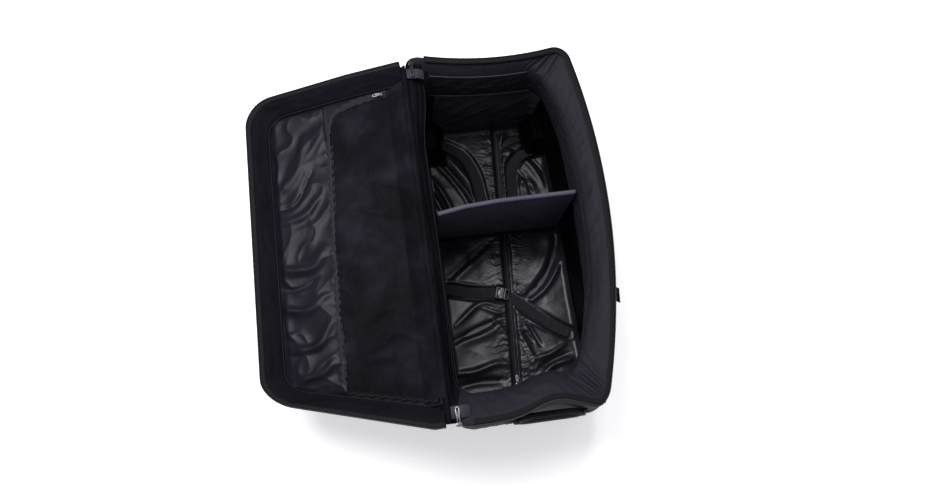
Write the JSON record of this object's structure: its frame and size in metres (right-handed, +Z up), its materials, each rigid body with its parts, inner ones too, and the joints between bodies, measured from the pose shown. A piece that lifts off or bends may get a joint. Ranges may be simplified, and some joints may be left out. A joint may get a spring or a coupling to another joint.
{
  "type": "hockey equipment bag",
  "caption": "Long soft wheeled equipment bag, zip-round lid open, two lined compartments with tie-down straps, mesh lid pocket and webbing carry handles.",
  "frame": {"origin": "on the floor at the middle of the bag, at the bottom of the middle skid runner", "axes": "+Y along the bag's length towards the wheels, +X towards the front long side, opposite the lid's hinge, +Z up"},
  "size_m": [0.9295, 0.971, 0.3673],
  "materials": {
    "outer_polyester": "matte",
    "padded_band": "matte",
    "lining_nylon": "satin",
    "pocket_mesh": "matte",
    "webbing": "matte",
    "binding": "satin",
    "zip_tape": "matte",
    "zip_metal": "satin",
    "black_plastic": "satin",
    "base_board": "matte",
    "tyre_rubber": "matte",
    "axle_steel": "satin"
  },
  "bodies": {
    "bag_body": {"back_rim_band": "padded_band", "back_wall": "outer_polyester", "back_wall_webbing": "webbing", "base_board": "base_board", "base_panel": "outer_polyester", "divider": "padded_band", "divider_binding": "binding", "end_handle_tab_back": "webbing", "end_handle_tab_front": "webbing", "far_buckle_receiver": "black_plastic", "far_strap_back": "webbing", "far_strap_front": "webbing", "front_rim_band": "padded_band", "front_wall": "outer_polyester", "front_wall_webbing": "webbing", "handle_end_rim_band": "padded_band", "handle_end_wall": "outer_polyester", "lining": "lining_nylon", "lining_zip_tape": "zip_tape", "near_buckle_receiver": "black_plastic", "near_strap_back": "webbing", "near_strap_front": "webbing", "rim_zip_tape": "zip_tape", "skid_runner_back": "black_plastic", "skid_runner_front": "black_plastic", "skid_runner_middle": "black_plastic", "wheel_axle_back": "axle_steel", "wheel_axle_front": "axle_steel", "wheel_end_kick_plate": "black_plastic", "wheel_end_rim_band": "padded_band", "wheel_end_wall": "outer_polyester", "wheel_housing_back": "black_plastic", "wheel_housing_front": "black_plastic"},
    "wheel_back": {"wheel_tyre_back": "tyre_rubber", "wheel_hub_back": "black_plastic"},
    "wheel_front": {"wheel_tyre_front": "tyre_rubber", "wheel_hub_front": "black_plastic"},
    "front_carry_handle": {"front_carry_handle": "webbing", "hand_wrap": "padded_band"},
    "back_carry_handle": {"back_carry_handle": "webbing"},
    "end_grab_handle": {"end_grab_handle": "padded_band"},
    "near_buckle_plug": {"near_buckle_plug": "black_plastic"},
    "far_buckle_plug": {"far_buckle_plug": "black_plastic"},
    "lining_zip_slider": {"lining_zip_slider": "zip_metal"},
    "lining_zip_pull": {"lining_zip_pull": "zip_metal"},
    "main_zip_slider_handle_end": {"main_zip_slider_handle_end": "zip_metal"},
    "main_zip_pull_handle_end": {"main_zip_pull_handle_end": "zip_metal"},
    "main_zip_slider_wheel_end": {"main_zip_slider_wheel_end": "zip_metal"},
    "main_zip_pull_wheel_end": {"main_zip_pull_wheel_end": "zip_metal"},
    "pocket_zip_slider": {"pocket_zip_slider": "zip_metal"},
    "pocket_zip_pull": {"pocket_zip_pull": "zip_metal"},
    "lid": {"lid_handle_end_band": "padded_band", "lid_lining": "lining_nylon", "lid_mesh_pocket": "pocket_mesh", "lid_outer_band": "padded_band", "lid_panel": "outer_polyester", "lid_wheel_end_band": "padded_band", "lid_zip_tape": "zip_tape", "pocket_zip_tape": "zip_tape"}
  },
  "joints": [
    {"name": "lid_hinge", "type": "hinge", "parent": "bag_body", "child": "lid", "pos_m": [-0.232, 0, 0.372], "axis": [0, 1, 0], "range_deg": [0, 198]},
    {"name": "wheel_spin_back", "type": "hinge", "parent": "bag_body", "child": "wheel_back", "pos_m": [-0.172, 0.41, 0.0385], "axis": [1, 0, 0], "continuous": true},
    {"name": "wheel_spin_front", "type": "hinge", "parent": "bag_body", "child": "wheel_front", "pos_m": [0.172, 0.41, 0.0385], "axis": [1, 0, 0], "continuous": true},
    {"name": "front_handle_swing", "type": "hinge", "parent": "bag_body", "child": "front_carry_handle", "pos_m": [0.254, 0.005, 0.275], "axis": [-0.0614, -0.9981, 0], "range_deg": [0, 150]},
    {"name": "back_handle_swing", "type": "hinge", "parent": "bag_body", "child": "back_carry_handle", "pos_m": [-0.238, 0.005, 0.275], "axis": [0, 1, 0], "range_deg": [0, 60]},
    {"name": "end_handle_lift", "type": "hinge", "parent": "bag_body", "child": "end_grab_handle", "pos_m": [0.012, -0.4665, 0.301], "axis": [-1, 0, 0], "range_deg": [0, 90]},
    {"name": "near_buckle_release", "type": "slide", "parent": "bag_body", "child": "near_buckle_plug", "axis": [0.9563, -0.2924, 0], "range_m": [0, 0.022]},
    {"name": "far_buckle_release", "type": "slide", "parent": "bag_body", "child": "far_buckle_plug", "axis": [1, 0, 0], "range_m": [0, 0.022]},
    {"name": "lining_zip_run", "type": "slide", "parent": "bag_body", "child": "lining_zip_slider", "axis": [0.072, 0.9974, 0], "range_m": [0, 0.18]},
    {"name": "lining_pull_swing", "type": "hinge", "parent": "lining_zip_slider", "child": "lining_zip_pull", "pos_m": [-0.00984, -0.35008, 0.0306], "axis": [0.9974, -0.072, 0], "range_deg": [0, 165]},
    {"name": "main_zip_run_handle_end", "type": "slide", "parent": "bag_body", "child": "main_zip_slider_handle_end", "axis": [1, 0, 0], "range_m": [0, 0.12]},
    {"name": "main_pull_swing_handle_end", "type": "hinge", "parent": "main_zip_slider_handle_end", "child": "main_zip_pull_handle_end", "pos_m": [-0.214, -0.459, 0.3664], "axis": [1, 0, 0], "range_deg": [0, 165]},
    {"name": "main_zip_run_wheel_end", "type": "slide", "parent": "bag_body", "child": "main_zip_slider_wheel_end", "axis": [1, 0, 0], "range_m": [0, 0.12]},
    {"name": "main_pull_swing_wheel_end", "type": "hinge", "parent": "main_zip_slider_wheel_end", "child": "main_zip_pull_wheel_end", "pos_m": [-0.214, 0.468, 0.3664], "axis": [-1, 0, 0], "range_deg": [0, 165]},
    {"name": "pocket_zip_run", "type": "slide", "parent": "lid", "child": "pocket_zip_slider", "axis": [-0.9511, 0, -0.309], "range_m": [0, 0.06]},
    {"name": "pocket_pull_swing", "type": "hinge", "parent": "pocket_zip_slider", "child": "pocket_zip_pull", "pos_m": [-0.29675, 0.406, 0.33182], "axis": [0, -1, 0], "range_deg": [0, 150]}
  ]
}
